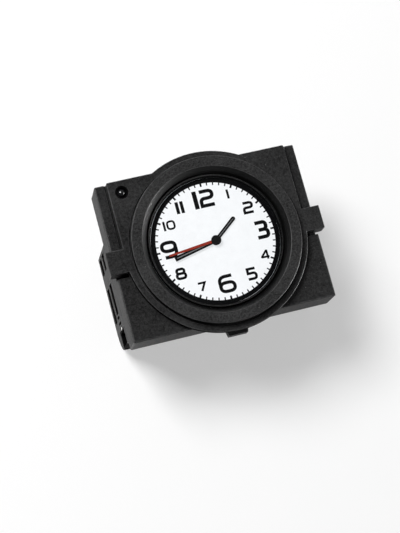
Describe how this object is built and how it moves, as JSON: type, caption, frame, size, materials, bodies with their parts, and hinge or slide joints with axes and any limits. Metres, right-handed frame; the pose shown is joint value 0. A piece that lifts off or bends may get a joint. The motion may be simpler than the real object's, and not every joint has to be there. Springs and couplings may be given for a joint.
{
  "type": "dash gauge clock",
  "caption": "Square-bodied dash gauge with a round white twelve-hour clock face, real stepping hands behind a sunk lens, a small setting button and a side plug socket.",
  "frame": {"origin": "centre of the flat back, on the dial's axis", "axes": "+X to 3 o'clock, +Y to 12 o'clock, +Z out of the dial"},
  "size_m": [0.0676, 0.0576, 0.036],
  "materials": {
    "black_nylon": "fine moulded grain",
    "clear_lens": "polished",
    "border_print": "satin print",
    "dial_white": "matt print",
    "guide_clear": "clear moulded",
    "lamp_yellow": "moulded",
    "black_gloss": "polished",
    "hand_black": "matt paint",
    "hand_red": "matt paint",
    "brass": "turned",
    "steel": "zinc plated",
    "ivory_acetal": "moulded",
    "copper_wire": "enamelled",
    "magnet_grey": "sintered",
    "board_green": "solder mask",
    "chip_black": "moulded",
    "tinned": "bright"
  },
  "bodies": {
    "case": {"front_mask": "black_nylon", "bezel_ring": "black_nylon", "lip_ring": "black_nylon", "front_frame": "black_nylon", "rear_housing": "black_nylon", "back_cover": "black_nylon", "lens": "clear_lens", "dial_border": "border_print", "dial_plate": "dial_white", "light_guide": "guide_clear", "dial_lamps": "lamp_yellow", "connector_socket": "black_gloss", "bracket_inserts": "brass", "contact_pins": "brass", "movement_plate": "brass", "bridge_plate": "brass", "case_screws": "steel", "cover_screws": "steel", "switch_screws": "steel", "plate_screws": "steel", "movement_screws": "steel", "plate_pillars": "steel", "button_spring": "steel", "seconds_stator": "steel", "minute_stator": "steel", "seconds_bobbin": "ivory_acetal", "minute_bobbin": "ivory_acetal", "seconds_winding": "copper_wire", "minute_winding": "copper_wire", "circuit_board": "board_green", "switch_board": "board_green", "controller_chip": "chip_black", "voltage_regulator": "chip_black", "push_switch": "chip_black", "quartz_crystal": "tinned", "smoothing_capacitor": "tinned", "socket_latch": "tinned"},
    "second_hand": {"seconds_wheel": "brass", "second_hand": "hand_red", "hand_cap": "hand_black"},
    "seconds_idler": {"seconds_idler": "ivory_acetal"},
    "seconds_rotor": {"seconds_pinion": "brass", "seconds_magnet": "magnet_grey"},
    "minute_hand": {"centre_wheel": "brass", "minute_hand": "hand_black"},
    "minute_idler": {"minute_idler": "ivory_acetal"},
    "minute_rotor": {"minute_pinion": "brass", "minute_magnet": "magnet_grey"},
    "motion_wheel": {"motion_wheel": "ivory_acetal"},
    "hour_hand": {"hour_wheel": "ivory_acetal", "hour_hand": "hand_black"},
    "mode_button": {"mode_button": "black_gloss", "switch_plunger": "ivory_acetal"}
  },
  "joints": [
    {"name": "second_hand_turn", "type": "hinge", "parent": "case", "child": "second_hand", "pos_m": [0, 0, 0.0268], "axis": [0, 0, -1], "continuous": true},
    {"name": "seconds_idler_turn", "type": "hinge", "parent": "case", "child": "seconds_idler", "pos_m": [0.00688, -0.00482, 0.0268], "axis": [0, 0, -1], "continuous": true},
    {"name": "seconds_rotor_turn", "type": "hinge", "parent": "case", "child": "seconds_rotor", "pos_m": [0.01255, -0.00582, 0.0258], "axis": [0, 0, -1], "continuous": true},
    {"name": "minute_hand_turn", "type": "hinge", "parent": "case", "child": "minute_hand", "pos_m": [0, 0, 0.0278], "axis": [0, 0, -1], "continuous": true},
    {"name": "minute_idler_turn", "type": "hinge", "parent": "case", "child": "minute_idler", "pos_m": [-0.00688, -0.00482, 0.0278], "axis": [0, 0, -1], "continuous": true},
    {"name": "minute_rotor_turn", "type": "hinge", "parent": "case", "child": "minute_rotor", "pos_m": [-0.01255, -0.00582, 0.0258], "axis": [0, 0, -1], "continuous": true},
    {"name": "motion_wheel_turn", "type": "hinge", "parent": "case", "child": "motion_wheel", "pos_m": [0, 0.006, 0.0302], "axis": [0, 0, -1], "continuous": true},
    {"name": "hour_hand_turn", "type": "hinge", "parent": "case", "child": "hour_hand", "pos_m": [0, 0, 0.031], "axis": [0, 0, -1], "continuous": true},
    {"name": "mode_button_press", "type": "slide", "parent": "case", "child": "mode_button", "axis": [0, 0, -1], "range_m": [0, 0.0005], "stiffness_N_per_m": 400, "springref_m": -0.0005, "deforming": ["button_spring"]}
  ],
  "couplings": [
    {"joint": "seconds_idler_turn", "follows": "second_hand_turn", "ratio": -6},
    {"joint": "seconds_rotor_turn", "follows": "second_hand_turn", "ratio": 30},
    {"joint": "minute_idler_turn", "follows": "minute_hand_turn", "ratio": -6},
    {"joint": "minute_rotor_turn", "follows": "minute_hand_turn", "ratio": 30},
    {"joint": "motion_wheel_turn", "follows": "minute_hand_turn", "ratio": -0.33333},
    {"joint": "hour_hand_turn", "follows": "minute_hand_turn", "ratio": 0.083333}
  ]
}
